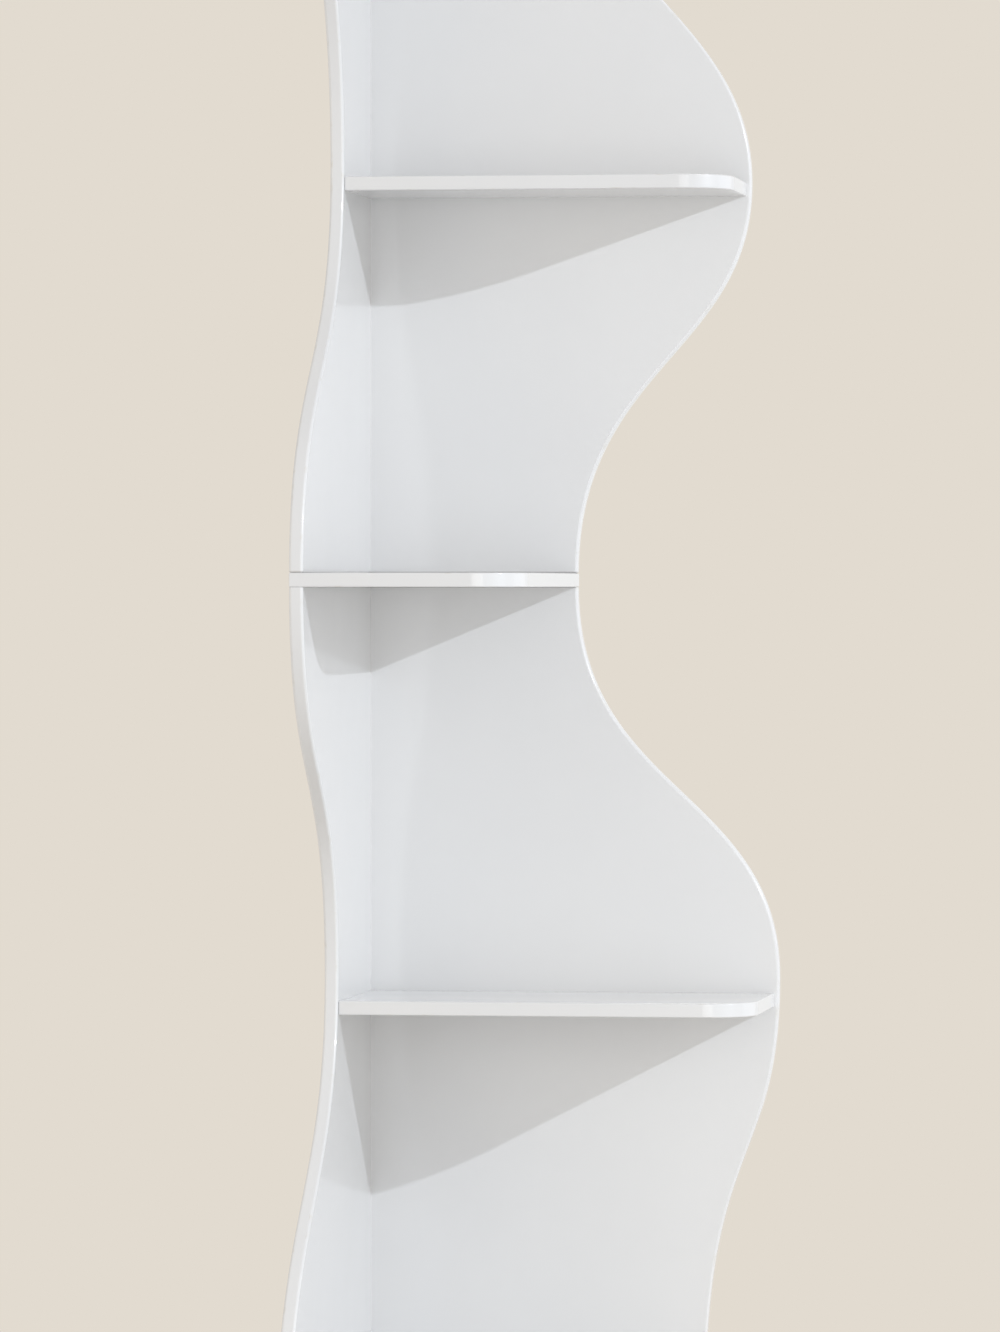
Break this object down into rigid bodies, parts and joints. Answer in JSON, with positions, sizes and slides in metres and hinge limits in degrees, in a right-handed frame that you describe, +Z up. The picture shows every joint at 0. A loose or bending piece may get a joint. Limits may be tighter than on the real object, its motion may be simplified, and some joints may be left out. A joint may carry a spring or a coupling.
{
  "type": "corner shelf unit",
  "caption": "Tall open corner shelf unit of white lacquered board: two uprights at a right angle with opposed wavy edges carry level shelves that have one rounded free corner.",
  "frame": {"origin": "on the floor, under the middle of the unit's overall box", "axes": "+Z up; +X along the rear wall, away from the room's corner; -Y along the left wall, out into the room"},
  "size_m": [0.468, 0.544, 1.825],
  "materials": {
    "white_lacquer": "satin white lacquer on fibreboard",
    "zinc_plated_steel": "bright zinc plating",
    "die_cast_zinc": "matt die-cast zinc",
    "beech": "raw beech",
    "glide_plastic": "moulded white plastic",
    "coated_steel": "white powder coat"
  },
  "bodies": {
    "root": {"base_board": "white_lacquer", "lower_left_panel": "white_lacquer", "lower_right_panel": "white_lacquer", "lower_shelf": "white_lacquer", "middle_board": "white_lacquer", "upper_left_panel": "white_lacquer", "upper_right_panel": "white_lacquer", "upper_shelf": "white_lacquer", "top_board": "white_lacquer", "lower_corner_screws": "zinc_plated_steel", "upper_corner_screws": "zinc_plated_steel", "lower_shelf_screws": "zinc_plated_steel", "upper_shelf_screws": "zinc_plated_steel", "base_board_screws": "zinc_plated_steel", "bracket_screws": "zinc_plated_steel", "glide_nails": "zinc_plated_steel", "middle_board_bolts": "zinc_plated_steel", "top_board_bolts": "zinc_plated_steel", "middle_board_cams": "die_cast_zinc", "top_board_cams": "die_cast_zinc", "lower_corner_dowels": "beech", "upper_corner_dowels": "beech", "lower_shelf_dowels": "beech", "upper_shelf_dowels": "beech", "base_board_dowels": "beech", "middle_board_dowels": "beech", "top_board_dowels": "beech", "floor_glides": "glide_plastic", "wall_brackets": "coated_steel"}
  },
  "joints": []
}
